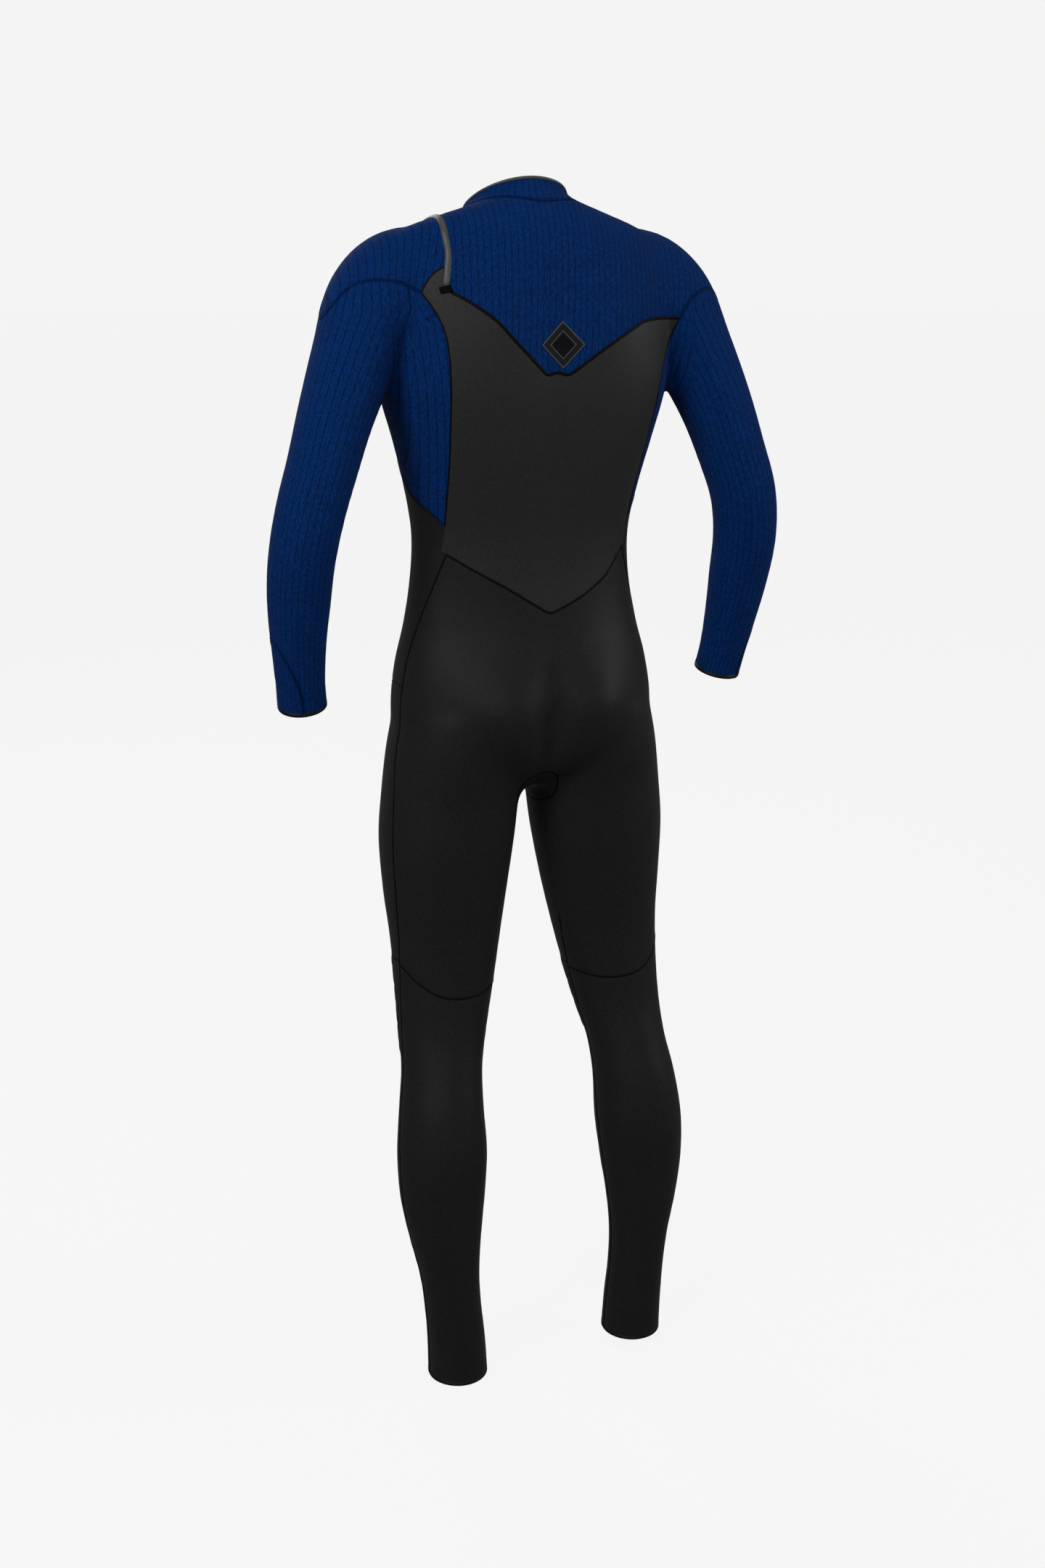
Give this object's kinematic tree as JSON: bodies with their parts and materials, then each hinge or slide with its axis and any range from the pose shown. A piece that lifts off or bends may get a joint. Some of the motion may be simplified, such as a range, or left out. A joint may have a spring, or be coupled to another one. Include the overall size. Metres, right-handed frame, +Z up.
{
  "type": "full wetsuit",
  "caption": "Long-sleeved, long-legged wetsuit with a curved chest zip, ribbed blue yoke and sleeves, a charcoal back panel and black legs.",
  "frame": {"origin": "centre of the neck opening, at the height where the collar meets the shoulders", "axes": "+Z up from the ankles to the neck, -Y towards the wearer's front, +X towards the wearer's left"},
  "size_m": [0.6542, 0.2369, 1.492],
  "materials": {
    "black_jersey": "smooth jersey, satin",
    "charcoal_jersey": "smooth jersey, satin",
    "grey_binding": "soft sheen",
    "knee_cover": "hard-wearing knit, matt",
    "patch": "printed film, satin",
    "pull_blue": "moulded",
    "ribbed_blue": "ribbed knitted face, matt",
    "seal_rubber": "smooth skin",
    "seam_black": "matt",
    "zip_plastic": "moulded",
    "zip_tape": "woven tape"
  },
  "bodies": {
    "suit": {"yoke": "ribbed_blue", "shoulder_left": "ribbed_blue", "back_panel": "charcoal_jersey", "seat_panel": "black_jersey", "crotch_gusset": "black_jersey", "front_torso": "black_jersey", "sleeve_left": "ribbed_blue", "sleeve_right": "ribbed_blue", "wrist_gusset_left": "ribbed_blue", "wrist_gusset_right": "ribbed_blue", "thigh_front_left": "black_jersey", "thigh_front_right": "black_jersey", "knee_pad_left": "knee_cover", "knee_pad_right": "knee_cover", "shin_front_left": "black_jersey", "shin_front_right": "black_jersey", "calf_left": "black_jersey", "calf_right": "black_jersey", "wrist_seal_left": "seal_rubber", "wrist_seal_right": "seal_rubber", "ankle_seal_left": "seal_rubber", "ankle_seal_right": "seal_rubber", "yoke_seam": "seam_black", "chevron_seam": "seam_black", "knee_seam_left": "seam_black", "knee_seam_right": "seam_black", "side_seam_left": "seam_black", "side_seam_right": "seam_black", "shoulder_binding": "grey_binding", "band_tack": "seam_black", "back_patch": "patch", "zip_tape_lower": "zip_tape", "zip_teeth_lower": "zip_plastic", "zip_stop_left": "zip_plastic", "zip_stop_right": "zip_plastic", "zip_barrier": "black_jersey"},
    "flap": {"collar": "ribbed_blue", "neck_binding": "grey_binding", "front_flap": "ribbed_blue", "flap_binding": "grey_binding", "zip_tape_upper": "zip_tape", "zip_teeth_upper": "zip_plastic"},
    "slider": {"slider": "zip_plastic", "slider_back": "zip_plastic"},
    "pull": {"pull_tab": "pull_blue"}
  },
  "joints": [
    {"name": "flap_lift", "type": "hinge", "parent": "suit", "child": "flap", "pos_m": [0, 0.066, 0.047], "axis": [-1, 0, 0], "range_deg": [0, 55]},
    {"name": "zip_travel", "type": "hinge", "parent": "suit", "child": "slider", "pos_m": [0, 0.313, -0.14], "axis": [-0.2079, 0, 0.9781], "range_deg": [-27.18, 0]},
    {"name": "pull_swing", "type": "hinge", "parent": "slider", "child": "pull", "pos_m": [0.09973, -0.10875, -0.1188], "axis": [-0.2079, 0, 0.9781], "range_deg": [0, 160]}
  ]
}
